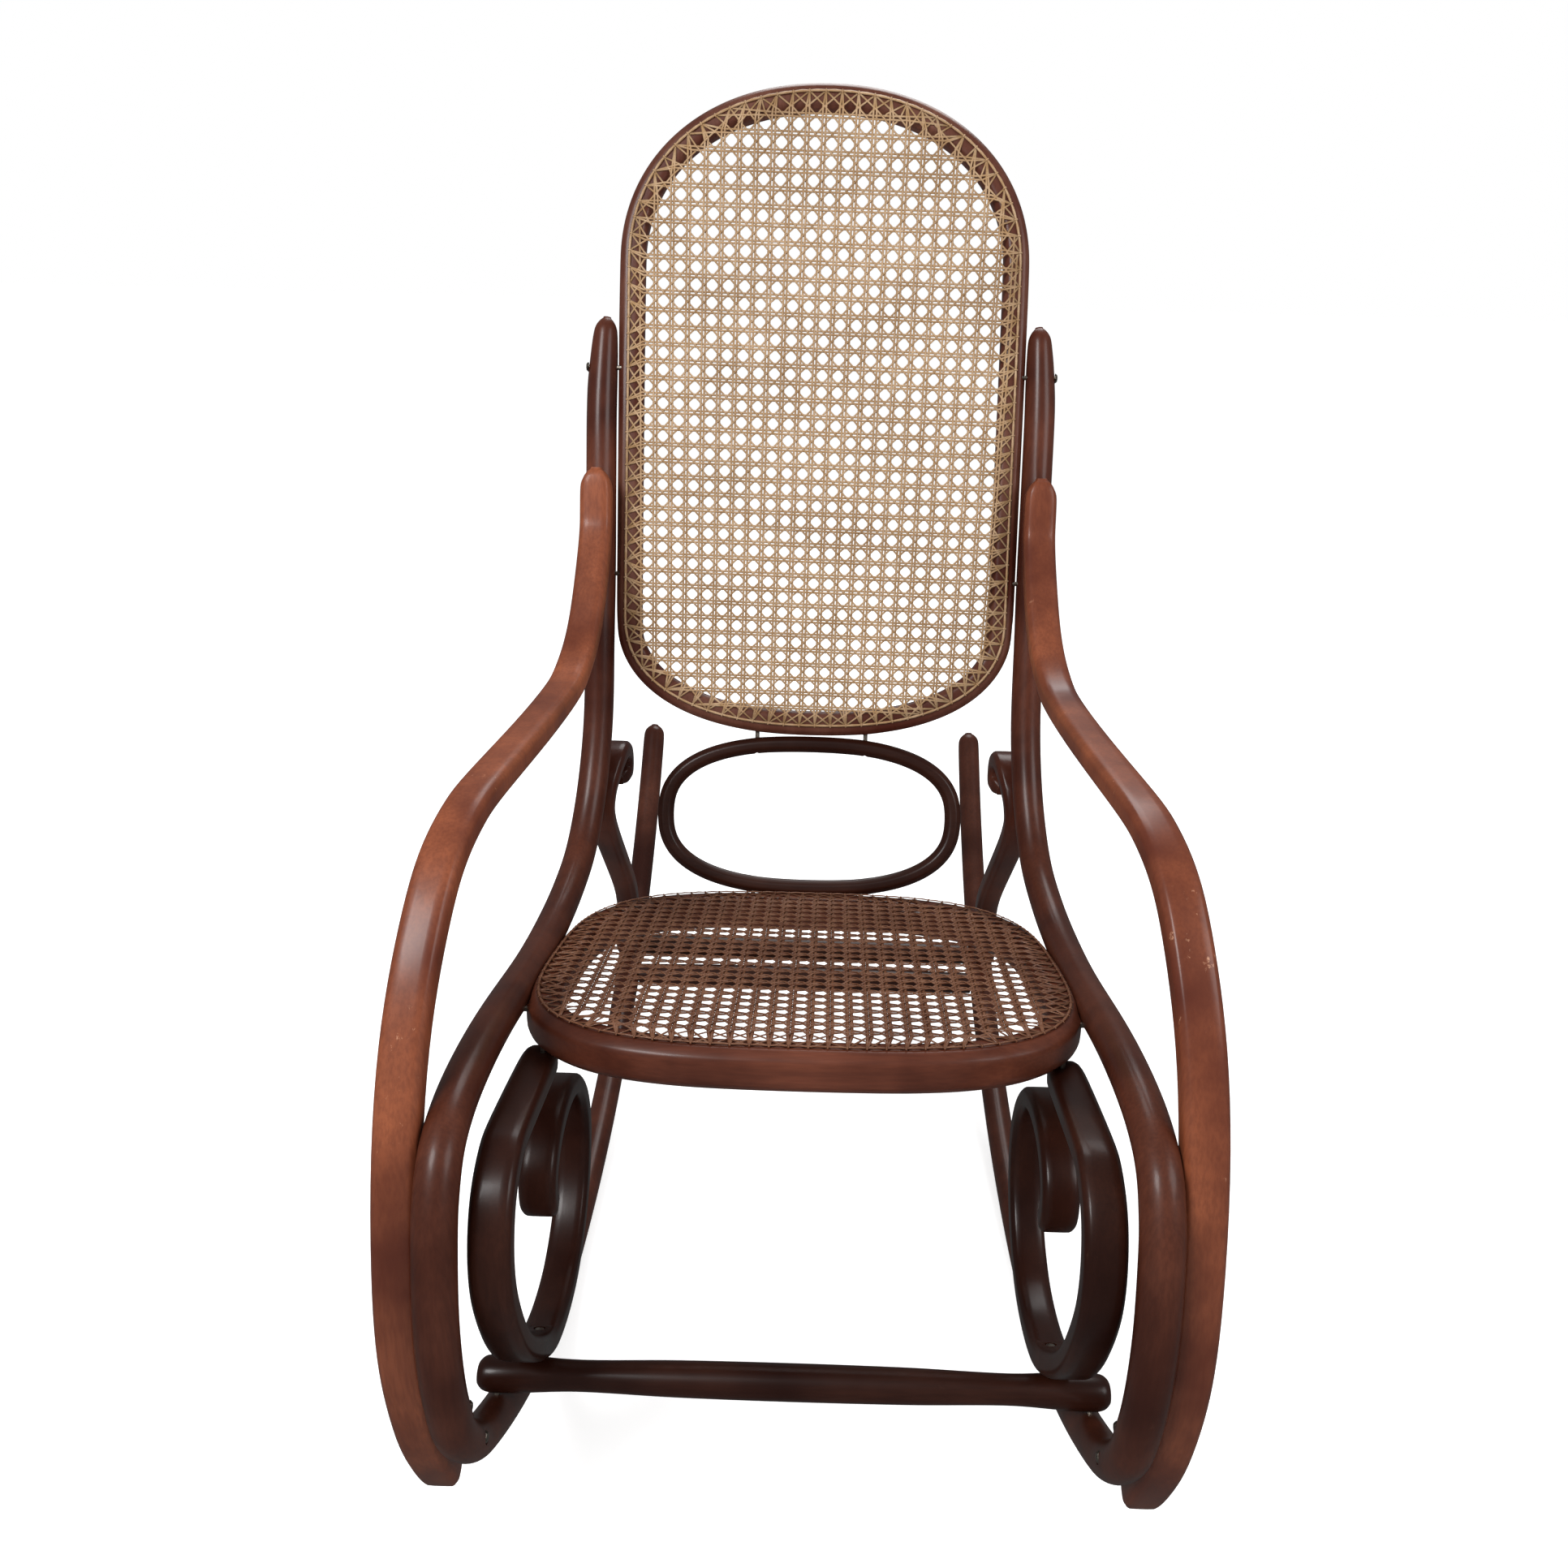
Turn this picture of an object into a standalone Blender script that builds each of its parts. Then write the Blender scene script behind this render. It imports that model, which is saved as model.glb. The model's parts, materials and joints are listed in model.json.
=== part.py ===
"""Bentwood rocking chair with a caned seat and back.

Every bent rod, hoop, turned rail, cane panel and screw is an object of its own. Metres, +Z up, the
sitter faces -Y, and the chair stands on its two runners with the middle of its box at x = y = 0.
"""

import math

import bmesh
import bpy
from mathutils import Matrix, Vector

# Clearances and the tilt at which the empty chair comes to rest
GAP = 0.0003
REST_GAP = 0.0009
HOLE_CLEARANCE = 0.0003
REST_TILT = math.radians(0.0)

# Bent side rods: upright, seat side, front loop, runner and raised tail in one length
ROD_RADIUS = 0.0155
RUNNER_RADIUS = 0.85
RUNNER_LOW_Y = 0.1045
RUNNER_FRONT_Y = -0.06
TAIL_ANGLE = math.radians(51.3)
TAIL_INSET = 0.0035
ROD_TIP = 0.72
ROD_TIP_LENGTH = 0.05

# Seat: a bent hoop with a sloping top
SEAT_HALF_WIDTH = 0.2250
SEAT_HALF_DEPTH = 0.1925
SEAT_MIDDLE = 0.005
SEAT_CORNER = 3.2
SEAT_TAPER = 0.035
SEAT_HEIGHT = 0.394
SEAT_SLOPE = math.radians(9.6)
SEAT_RIM_WIDTH = 0.029
SEAT_RIM_HEIGHT = 0.0330
SEAT_CHAMFER = 0.007
SEAT_NOTCH = 0.0076
NOTCH_CLEARANCE = 0.0008

# Back: a tall bent hoop leaning on the line of the uprights
BACK_FOOT_Y = 0.2045
BACK_FOOT_Z = 0.3748
BACK_RECLINE = math.radians(16.0)
BACK_HALF_WIDTH = 0.200
BACK_LOW = 0.1425
BACK_SHOULDER_LOW = 0.262
BACK_SHOULDER_HIGH = 0.600
BACK_HIGH = 0.771
BACK_ARCH = 2.15
BACK_CHIN = 2.35
BACK_RIM_WIDTH = 0.0245
BACK_RIM_DEPTH = 0.021
UPRIGHT_TOP = 0.548
UPRIGHT_SET_BACK = 0.005

# Lumbar ring between the seat and the back
RING_HALF_WIDTH = 0.1465
RING_ROD_RADIUS = 0.0088
RING_SHAPE = 2.5

# Cane panels and the binding that covers the drilled line round each of them
CANE_THICKNESS = 0.0022
BINDING_WIDTH = 0.0045
BINDING_THICKNESS = 0.0016
BINDING_FROM_EDGE = 0.0080

# Arms: flat bent strips
ARM_HALF_WIDTH = 0.0152
ARM_HALF_THICKNESS = 0.0105
ARM_TOP = 0.399

# Scrolls under the seat, curled braces behind it
SCROLL_HALF_WIDTH = 0.0145
SCROLL_HALF_THICKNESS = 0.0095
SCROLL_REST_ANGLE = math.radians(60.0)
BRACE_HALF_WIDTH = 0.0128
BRACE_HALF_THICKNESS = 0.0095
BRACE_CURL_INSET = 0.012

# Turned rails across the runners
STRETCHER_RADIUS = 0.0142
STRETCHER_NECK = 0.0115
STRETCHER_Y = -0.2150
REAR_RAIL_RADIUS = 0.0155
REAR_RAIL_YS = (0.4655, 0.5060)

# Screws: a domed head on a plain shank
SCREW_SHANK = 0.0022
SCREW_HEAD = 0.0048
SCREW_HEAD_HEIGHT = 0.0024
SCREW_SINK = 0.0018
BORE_RISE = 0.006

X_AXIS = Vector((1.0, 0.0, 0.0))
SEAT_ORIGIN = Vector((0.0, 0.0, SEAT_HEIGHT))
SEAT_REAR = Vector((0.0, math.cos(SEAT_SLOPE), -math.sin(SEAT_SLOPE)))
SEAT_UP = Vector((0.0, math.sin(SEAT_SLOPE), math.cos(SEAT_SLOPE)))
BACK_ORIGIN = Vector((0.0, BACK_FOOT_Y, BACK_FOOT_Z))
BACK_UP = Vector((0.0, math.sin(BACK_RECLINE), math.cos(BACK_RECLINE)))
BACK_FRONT = Vector((0.0, -math.cos(BACK_RECLINE), math.sin(BACK_RECLINE)))

# Side view of the rod from the foot of the upright to the front of the runner, (y, z)
SIDE_PROFILE = (
    (0.2147, 0.4508), (0.1710, 0.4080), (0.1140, 0.3881), (0.0475, 0.3843), (-0.0190, 0.3909),
    (-0.1074, 0.4080), (-0.1748, 0.4175), (-0.2375, 0.4175), (-0.2755, 0.4052), (-0.2990, 0.3748),
    (-0.3116, 0.3368), (-0.3192, 0.2988), (-0.3202, 0.2608), (-0.3173, 0.2323), (-0.3060, 0.1895),
    (-0.2755, 0.1450), (-0.2280, 0.1107), (-0.1615, 0.0727),
)
SEAT_SIDE_Y = 0.03
UPRIGHT_BEND = 0.155

# Side view of the arm below its lap on the upright, (y, z, share of the way out to the loop)
ARM_PROFILE = (
    (0.2270, 0.6500, 0.0), (0.1957, 0.6152, 0.07), (0.1473, 0.5905, 0.17), (0.0523, 0.5848, 0.29),
    (-0.0437, 0.5857, 0.44), (-0.1121, 0.5810, 0.59), (-0.1511, 0.5677, 0.70), (-0.1777, 0.5496, 0.78),
    (-0.2147, 0.5088, 0.88), (-0.2432, 0.4641, 0.96), (-0.2651, 0.4176, 1.0), (-0.2831, 0.3672, 1.0),
    (-0.2983, 0.3102, 1.0), (-0.3040, 0.2608, 1.0), (-0.3005, 0.2133, 1.0), (-0.2905, 0.1658, 1.0),
    (-0.2745, 0.1250, 1.0), (-0.2605, 0.0965, 1.0), (-0.2520, 0.0815, 1.0),
)

# Where the arm's lower end is screwed to the loop, in side view, (y, z)
ARM_SCREWS = ((-0.3050, 0.2133), (-0.2860, 0.1620))

# Side view of the scroll down to where it rests on the stretcher, and from there to its end, (y, z)
SCROLL_FRONT = (
    (-0.2043, 0.3835), (-0.2423, 0.3830), (-0.2708, 0.3672), (-0.2869, 0.3387), (-0.2907, 0.3064),
    (-0.2831, 0.2703), (-0.2640, 0.2276), (-0.2310, 0.1860),
)
SCROLL_REAR = (
    (-0.1430, 0.1385), (-0.0980, 0.1420), (-0.0600, 0.1620), (-0.0323, 0.1943), (-0.0200, 0.2323),
    (-0.0285, 0.2700), (-0.0550, 0.3000), (-0.0950, 0.3120), (-0.1340, 0.3050), (-0.1560, 0.2840),
    (-0.1560, 0.2600), (-0.1400, 0.2470),
)

# Side view of the brace from its curled end down its stem, (y, z, share of the curl's inset)
BRACE_PROFILE = (
    (0.2920, 0.4380, 1.0), (0.3065, 0.4450, 1.0), (0.3090, 0.4600, 1.0), (0.2950, 0.4730, 1.0),
    (0.2770, 0.4720, 0.85), (0.2630, 0.4590, 0.5), (0.2530, 0.4420, 0.15), (0.2490, 0.4210, 0.0),
    (0.2630, 0.3930, 0.0), (0.2890, 0.3650, 0.0), (0.3250, 0.3280, 0.0), (0.3639, 0.2890, 0.0),
    (0.4085, 0.2380, 0.0),
)
BRACE_FOOT_Y = 0.4845

WOOD = (0.165, 0.052, 0.026)
WOOD_LIGHT = (0.245, 0.083, 0.036)
WOOD_DULL = (0.180, 0.078, 0.052)
BACK_CANE = (0.560, 0.345, 0.150)
SEAT_CANE = (0.300, 0.145, 0.065)
STEEL = (0.420, 0.400, 0.370)

PARTS = "bentwood_rocking_chair"
CUTTERS = "drill_cutters"
holes = {}


def clear_scene():
    """Remove what the file opened with and make the two collections."""
    for obj in list(bpy.data.objects):
        bpy.data.objects.remove(obj, do_unlink=True)
    for name in (PARTS, CUTTERS):
        bpy.context.scene.collection.children.link(bpy.data.collections.new(name))


def paint(obj, colour, roughness=0.4, metallic=0.0):
    """Give the object a Principled material of its own."""
    mat = bpy.data.materials.new(obj.name)
    mat.use_nodes = True
    shader = mat.node_tree.nodes["Principled BSDF"]
    shader.inputs["Base Color"].default_value = (*colour, 1.0)
    shader.inputs["Roughness"].default_value = roughness
    shader.inputs["Metallic"].default_value = metallic
    obj.data.materials.clear()
    obj.data.materials.append(mat)
    return obj


def add_mesh(name, bm, collection=PARTS):
    """Turn a bmesh into a smooth-shaded object with sharp edges where it really turns."""
    bmesh.ops.recalc_face_normals(bm, faces=bm.faces)
    mesh = bpy.data.meshes.new(name)
    bm.to_mesh(mesh)
    bm.free()
    mesh.shade_smooth()
    mesh.set_sharp_from_angle(angle=math.radians(40))
    obj = bpy.data.objects.new(name, mesh)
    bpy.data.collections[collection].objects.link(obj)
    return obj


def curved(points, steps=10):
    """Centripetal Catmull-Rom curve through the points, end points included."""
    pts = [2 * points[0] - points[1], *points, 2 * points[-1] - points[-2]]
    path = []
    for a, b, c, d in zip(pts, pts[1:], pts[2:], pts[3:]):
        t1 = (b - a).length ** 0.5
        t2 = t1 + (c - b).length ** 0.5
        t3 = t2 + (d - c).length ** 0.5
        for i in range(steps):
            t = t1 + (t2 - t1) * i / steps
            ab = a.lerp(b, t / t1)
            bc = b.lerp(c, (t - t1) / (t2 - t1))
            cd = c.lerp(d, (t - t2) / (t3 - t2))
            path.append(ab.lerp(bc, t / t2).lerp(bc.lerp(cd, (t - t1) / (t3 - t1)), (t - t1) / (t2 - t1)))
    path.append(points[-1].copy())
    return path


def lengths(path):
    """Distance of each point along the path."""
    run = [0.0]
    for a, b in zip(path, path[1:]):
        run.append(run[-1] + (b - a).length)
    return run


def stations(path, turn, end_size, longest=0.12):
    """Points along the path wherever it has turned by this much, with a few more at its rounded ends."""
    run = lengths(path)
    total = run[-1]
    marks = [end_size * f for f in (0.0, 0.07, 0.25, 0.6, 1.0)]
    bend = 0.0
    for a, b, c, mark in zip(path, path[1:], path[2:], run[1:]):
        bend += (b - a).angle(c - b, 0.0)
        if marks[-1] + 0.004 < mark < total - 1.3 * end_size and (bend > turn or mark > marks[-1] + longest):
            marks.append(mark)
            bend = 0.0
    marks += [total - end_size * f for f in (1.0, 0.6, 0.25, 0.07, 0.0)]
    found = []
    k = 0
    for mark in marks:
        while k < len(run) - 2 and run[k + 1] < mark:
            k += 1
        found.append(path[k].lerp(path[k + 1], (mark - run[k]) / (run[k + 1] - run[k])))
    return found, [min(m, total - m) for m in marks]


def roundness(distance, size):
    """Share of the full section at this distance from an end that is rounded over the given size."""
    if distance >= size:
        return 1.0
    return max(0.35, math.sqrt(1.0 - (1.0 - distance / size) ** 2))


def rod(name, points, sizes, colour, cyclic=False, collection=PARTS, rounds=4):
    """Round bent rod: a bevelled curve with filled caps, turned into a mesh so it can be drilled."""
    curve = bpy.data.curves.new(name, "CURVE")
    curve.dimensions = "3D"
    curve.bevel_depth = 1.0
    curve.bevel_resolution = rounds
    curve.use_fill_caps = True
    spline = curve.splines.new("POLY")
    spline.points.add(len(points) - 1)
    spline.use_cyclic_u = cyclic
    for item, point, size in zip(spline.points, points, sizes):
        item.co = (*point, 1.0)
        item.radius = size
    return paint(add_mesh(name, solid_of(curve), collection), colour)


def solid_of(curve):
    """Closed bmesh of a curve, its caps welded on."""
    guide = bpy.data.objects.new("guide", curve)
    bpy.context.scene.collection.objects.link(guide)
    mesh = bpy.data.meshes.new_from_object(guide.evaluated_get(bpy.context.evaluated_depsgraph_get()))
    bm = bmesh.new()
    bm.from_mesh(mesh)
    bmesh.ops.remove_doubles(bm, verts=bm.verts, dist=0.00001)
    bpy.data.objects.remove(guide, do_unlink=True)
    return bm


def rounded_section(half_a, half_b, corner):
    """Rectangle with chamfered corners, or plain ones for a corner of zero, as (a, b) points."""
    if corner == 0.0:
        return [(half_a, half_b), (-half_a, half_b), (-half_a, -half_b), (half_a, -half_b)]
    return [
        (half_a, half_b - corner), (half_a - corner, half_b), (corner - half_a, half_b),
        (-half_a, half_b - corner), (-half_a, corner - half_b), (corner - half_a, -half_b),
        (half_a - corner, -half_b), (half_a, corner - half_b),
    ]


def sweep(name, points, shares, section, across, colour, closed=False):
    """Loft a flat section along a bent path, keeping its first axis as near `across` as it can be.

    A share below one narrows the section there, which rounds an end.
    """
    bm = bmesh.new()
    rings = []
    count = len(points)
    for i, point in enumerate(points):
        before = points[i - 1] if closed or i else points[0]
        after = points[(i + 1) % count] if closed or i < count - 1 else points[-1]
        along = (after - before).normalized()
        a_axis = (across - across.dot(along) * along).normalized()
        b_axis = along.cross(a_axis)
        share = shares[i]
        rings.append([bm.verts.new(point + a_axis * a * share + b_axis * b * min(1.0, share + 0.25))
                      for a, b in section])
    pairs = list(zip(rings, rings[1:]))
    if closed:
        pairs.append((rings[-1], rings[0]))
    else:
        bm.faces.new(rings[0])
        bm.faces.new(reversed(rings[-1]))
    size = len(section)
    for low, high in pairs:
        for k in range(size):
            bm.faces.new((low[k], low[(k + 1) % size], high[(k + 1) % size], high[k]))
    return paint(add_mesh(name, bm), colour)


def strip(name, path, half_width, half_thickness, colour, turn=8.0):
    """Flat bent strip, its width across the chair, with rounded ends."""
    points, distances = stations(path, math.radians(turn), 1.25 * half_width)
    shares = [roundness(d, 1.25 * half_width) for d in distances]
    section = rounded_section(half_width, half_thickness, 0.38 * half_thickness)
    return sweep(name, points, shares, section, X_AXIS, colour)


def hoop(name, outline, frame, half_height, half_width, colour, corner, lift=0.0):
    """Closed band along a flat outline; frame is (origin, u axis, v axis, face normal)."""
    origin, u_axis, v_axis, normal = frame
    points = [origin + u_axis * u + v_axis * v + normal * lift for u, v in outline]
    section = rounded_section(half_height, half_width, corner)
    return sweep(name, points, [1.0] * len(points), section, normal, colour, closed=True)


def plate(name, outline, frame, thickness, lift, colour):
    """Flat panel: a filled 2D curve extruded by half its thickness, welded into one body."""
    origin, u_axis, v_axis, normal = frame
    curve = bpy.data.curves.new(name, "CURVE")
    curve.dimensions = "2D"
    curve.fill_mode = "BOTH"
    curve.extrude = thickness / 2
    spline = curve.splines.new("POLY")
    spline.points.add(len(outline) - 1)
    spline.use_cyclic_u = True
    for item, (u, v) in zip(spline.points, outline):
        item.co = (u, v, 0.0, 1.0)
    bm = solid_of(curve)
    place = Matrix((u_axis, v_axis, normal)).transposed().to_4x4()
    place.translation = origin + normal * lift
    bmesh.ops.transform(bm, matrix=place, verts=bm.verts)
    return paint(add_mesh(name, bm), colour, roughness=0.6)


def power(value, exponent):
    """Signed power, for rounded outlines."""
    return math.copysign(abs(value) ** exponent, value)


def seat_half_width(v):
    """Half the seat's width at this distance behind its middle."""
    share = (v - SEAT_MIDDLE) / SEAT_HALF_DEPTH
    fullness = (1.0 - abs(share) ** SEAT_CORNER) ** (1 / SEAT_CORNER)
    return SEAT_HALF_WIDTH * fullness * (1.0 - SEAT_TAPER * share)


def seat_outline(inset, count=48):
    """Rounded seat outline, a little narrower towards the rear, moved in by the inset."""
    half_w = SEAT_HALF_WIDTH - inset
    half_d = SEAT_HALF_DEPTH - inset
    points = []
    for i in range(count):
        angle = 2 * math.pi * i / count
        v = half_d * power(math.sin(angle), 2 / SEAT_CORNER)
        u = half_w * power(math.cos(angle), 2 / SEAT_CORNER)
        points.append((u * (1.0 - SEAT_TAPER * v / half_d), v + SEAT_MIDDLE))
    return points


def back_outline(inset, count=60):
    """Hoop outline: an arched top, straight sides and a rounder chin, moved in by the inset."""
    half_w = BACK_HALF_WIDTH - inset
    points = []
    for i in range(count):
        angle = 2 * math.pi * i / count
        rise, shape = BACK_HIGH - BACK_SHOULDER_HIGH - inset, BACK_ARCH
        base = BACK_SHOULDER_HIGH
        if math.sin(angle) < 0.0:
            rise, shape, base = BACK_SHOULDER_LOW - BACK_LOW - inset, BACK_CHIN, BACK_SHOULDER_LOW
        u = half_w * power(math.cos(angle), 2 / shape)
        points.append((u, base + rise * power(math.sin(angle), 2 / shape)))
    return points


def upright_point(height):
    """Point of an upright's centre line in the middle plane, this far up the back."""
    return BACK_ORIGIN + BACK_UP * height - BACK_FRONT * UPRIGHT_SET_BACK


def upright_x():
    """Distance of an upright's centre line from the chair's middle: it bears on the back hoop."""
    return BACK_HALF_WIDTH + GAP + ROD_RADIUS


def side_x():
    """Distance of the rod's centre line from the middle where it is let into the seat's rim."""
    return SEAT_HALF_WIDTH - SEAT_NOTCH + ROD_RADIUS


def runner_point(angle):
    """Point of the runner's arc, the angle counted from its lowest point towards the tail."""
    y = RUNNER_LOW_Y + RUNNER_RADIUS * math.sin(angle)
    z = ROD_RADIUS + RUNNER_RADIUS * (1.0 - math.cos(angle))
    return Vector((side_x() - TAIL_INSET * max(0.0, angle / TAIL_ANGLE), y, z))


def runner_at(y):
    """Point of the runner's centre line this far back, and the direction up out of its top."""
    angle = math.asin((y - RUNNER_LOW_Y) / RUNNER_RADIUS)
    return runner_point(angle), Vector((0.0, -math.sin(angle), math.cos(angle)))


def side_path():
    """Centre line of the right side rod, from the top of the upright to the raised tail."""
    points = []
    tip_shift = ROD_RADIUS * (1.0 - ROD_TIP)
    for height, shift in ((UPRIGHT_TOP, tip_shift), (UPRIGHT_TOP - ROD_TIP_LENGTH, 0.0), (0.40, 0.0),
                          (0.30, 0.0), (0.22, 0.0), (UPRIGHT_BEND, 0.0)):
        points.append(upright_point(height) + X_AXIS * (upright_x() - shift))
    bend_y = points[-1].y
    for y, z in SIDE_PROFILE:
        share = min(1.0, max(0.0, (bend_y - y) / (bend_y - SEAT_SIDE_Y)))
        x = upright_x() + (side_x() - upright_x()) * math.sin(0.5 * math.pi * share)
        points.append(Vector((x, y, z)))
    first = -math.asin((RUNNER_LOW_Y - RUNNER_FRONT_Y) / RUNNER_RADIUS)
    for i in range(14):
        points.append(runner_point(first + (TAIL_ANGLE - first) * i / 13))
    return curved(points, 6)


def arm_path():
    """Centre line of the right arm, from its lap on the upright to its lower end beside the loop."""
    x_out = side_x() + ROD_RADIUS + GAP + ARM_HALF_WIDTH
    reach = ROD_RADIUS + ARM_HALF_THICKNESS + REST_GAP
    points = []
    for height in (ARM_TOP, 0.37, 0.34):
        points.append(upright_point(height) + BACK_FRONT * reach + X_AXIS * upright_x())
    for y, z, share in ARM_PROFILE:
        points.append(Vector((upright_x() + (x_out - upright_x()) * share, y, z)))
    return curved(points, 6)


def scroll_path():
    """Centre line of the right scroll: flat under the seat's rim, then round to its inner end."""
    x = side_x() - ROD_RADIUS - GAP - SCROLL_HALF_WIDTH
    drop = SEAT_RIM_HEIGHT + GAP + SCROLL_HALF_THICKNESS
    points = [SEAT_ORIGIN + SEAT_REAR * v - SEAT_UP * drop + X_AXIS * x for v in (-0.105, -0.14, -0.175)]
    points += [Vector((x, y, z)) for y, z in SCROLL_FRONT]
    reach = STRETCHER_RADIUS + SCROLL_HALF_THICKNESS + REST_GAP
    out = Vector((0.0, math.cos(SCROLL_REST_ANGLE), math.sin(SCROLL_REST_ANGLE)))
    points.append(stretcher_centre()[0] + out * reach + X_AXIS * x)
    points += [Vector((x, y, z)) for y, z in SCROLL_REAR]
    return curved(points, 6)


def brace_path():
    """Centre line of the right brace, from its curled end down to the top of the runner."""
    x = upright_x() + GAP
    points = [Vector((x - BRACE_CURL_INSET * share, y, z)) for y, z, share in BRACE_PROFILE]
    foot, up = runner_at(BRACE_FOOT_Y)
    points.append(foot + up * (ROD_RADIUS + 0.045))
    points.append(foot + up * (ROD_RADIUS + REST_GAP))
    return curved(points, 6)


def mirrored(path, side):
    """The path on the right (side 1) or on the left (side -1)."""
    return [Vector((side * p.x, p.y, p.z)) for p in path]


def nearest(path, y, z):
    """Point of the path nearest to a place in side view."""
    return min(path, key=lambda p: (p.y - y) ** 2 + (p.z - z) ** 2)


def side_rod_stations():
    """Points along the side rod and its radius at each: a slimmer, rounded tip at the top."""
    points, distances = stations(side_path(), math.radians(7.5), ROD_RADIUS, 0.05)
    run = lengths(points)
    sizes = []
    for place, distance in zip(run, distances):
        slim = ROD_TIP + (1.0 - ROD_TIP) * min(1.0, place / ROD_TIP_LENGTH)
        sizes.append(ROD_RADIUS * slim * roundness(distance, ROD_RADIUS))
    return points, sizes


def build_sides():
    """The two side rods, arms, scrolls and braces."""
    points, sizes = side_rod_stations()
    for label, side in (("left", -1), ("right", 1)):
        rod("side_rod_" + label, mirrored(points, side), sizes, WOOD)
        strip("arm_" + label, mirrored(arm_path(), side), ARM_HALF_WIDTH, ARM_HALF_THICKNESS, WOOD_LIGHT)
        strip("seat_scroll_" + label, mirrored(scroll_path(), side), SCROLL_HALF_WIDTH,
              SCROLL_HALF_THICKNESS, WOOD, 12.0)
        strip("rear_brace_" + label, mirrored(brace_path(), side), BRACE_HALF_WIDTH,
              BRACE_HALF_THICKNESS, WOOD, 12.0)


def notch_seat():
    """Cut the shallow grooves in the seat's rim that the side rods lie in."""
    points, sizes = side_rod_stations()
    near = [p for p in points if p.y < 0.24 and p.z > 0.33]
    for label, side in (("left", -1), ("right", 1)):
        size = [ROD_RADIUS + NOTCH_CLEARANCE] * len(near)
        cutter = rod("seat_notch_" + label, mirrored(near, side), size, WOOD, collection=CUTTERS)
        subtract("seat_frame", cutter)


def subtract(target, cutter):
    """Boolean difference, the cutter hidden."""
    cutter.hide_render = True
    cutter.display_type = "WIRE"
    mod = bpy.data.objects[target].modifiers.new(cutter.name, "BOOLEAN")
    mod.operation = "DIFFERENCE"
    mod.solver = "EXACT"
    mod.object = cutter


def build_seat():
    """Seat hoop, its cane panel and the binding round it."""
    frame = (SEAT_ORIGIN, X_AXIS, SEAT_REAR, SEAT_UP)
    middle = seat_outline(SEAT_RIM_WIDTH / 2)
    hoop("seat_frame", middle, frame, SEAT_RIM_HEIGHT / 2, SEAT_RIM_WIDTH / 2, WOOD, SEAT_CHAMFER,
         -SEAT_RIM_HEIGHT / 2)
    line = BINDING_FROM_EDGE + BINDING_WIDTH / 2
    hoop("seat_cane_binding", seat_outline(line), frame, BINDING_THICKNESS / 2, BINDING_WIDTH / 2,
         SEAT_CANE, 0.0, GAP + BINDING_THICKNESS / 2)
    plate("seat_cane", seat_outline(line + BINDING_WIDTH / 2 + GAP), frame, CANE_THICKNESS,
          GAP + CANE_THICKNESS / 2, SEAT_CANE)


def build_back():
    """Back hoop, its cane panel and binding, and the lumbar ring below."""
    frame = (BACK_ORIGIN, X_AXIS, BACK_UP, BACK_FRONT)
    hoop("back_frame", back_outline(BACK_RIM_WIDTH / 2), frame, BACK_RIM_DEPTH / 2, BACK_RIM_WIDTH / 2,
         WOOD_DULL, 0.005, -BACK_RIM_DEPTH / 2)
    line = BINDING_FROM_EDGE + BINDING_WIDTH / 2
    hoop("back_cane_binding", back_outline(line), frame, BINDING_THICKNESS / 2, BINDING_WIDTH / 2,
         BACK_CANE, 0.0, GAP + BINDING_THICKNESS / 2)
    plate("back_cane", back_outline(line + BINDING_WIDTH / 2 + GAP), frame, CANE_THICKNESS,
          GAP + CANE_THICKNESS / 2, BACK_CANE)
    corner = SEAT_REAR * (SEAT_MIDDLE + SEAT_HALF_DEPTH - SEAT_CHAMFER / 2) - SEAT_UP * SEAT_CHAMFER / 2
    low = SEAT_ORIGIN + corner + (SEAT_REAR + SEAT_UP).normalized() * (GAP + RING_ROD_RADIUS)
    high = BACK_ORIGIN + BACK_UP * (BACK_LOW - GAP - RING_ROD_RADIUS) - BACK_FRONT * BACK_RIM_DEPTH / 2
    ring = []
    for i in range(48):
        angle = 2 * math.pi * i / 48
        u = RING_HALF_WIDTH * power(math.cos(angle), 2 / RING_SHAPE)
        ring.append(low.lerp(high, 0.5 + 0.5 * power(math.sin(angle), 2 / RING_SHAPE)) + X_AXIS * u)
    rod("lumbar_ring", ring, [RING_ROD_RADIUS] * len(ring), WOOD, cyclic=True, rounds=2)
    return low, high


def turned(name, profile, centre, colour):
    """Turned rail across the chair: a profile of (distance from the middle, radius) and a Screw."""
    mesh = bpy.data.meshes.new(name)
    outline = [(profile[-1][0], 0.0), *reversed(profile)]
    outline += [(-x, r) for x, r in profile[1:]] + [(-profile[-1][0], 0.0)]
    verts = [(r, 0.0, x) for x, r in outline]
    mesh.from_pydata(verts, [(i, i + 1) for i in range(len(verts) - 1)], [])
    obj = bpy.data.objects.new(name, mesh)
    bpy.data.collections[PARTS].objects.link(obj)
    spin(obj, 20)
    obj.matrix_world = Matrix.Translation(centre) @ Matrix.Rotation(math.pi / 2, 4, "Y")
    return paint(obj, colour)


def spin(obj, steps):
    """Full turn about the object's Z axis."""
    mod = obj.modifiers.new("turned", "SCREW")
    mod.steps = steps
    mod.render_steps = steps
    mod.use_merge_vertices = True
    mod.merge_threshold = 0.00001
    mod.use_smooth_shade = True


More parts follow.
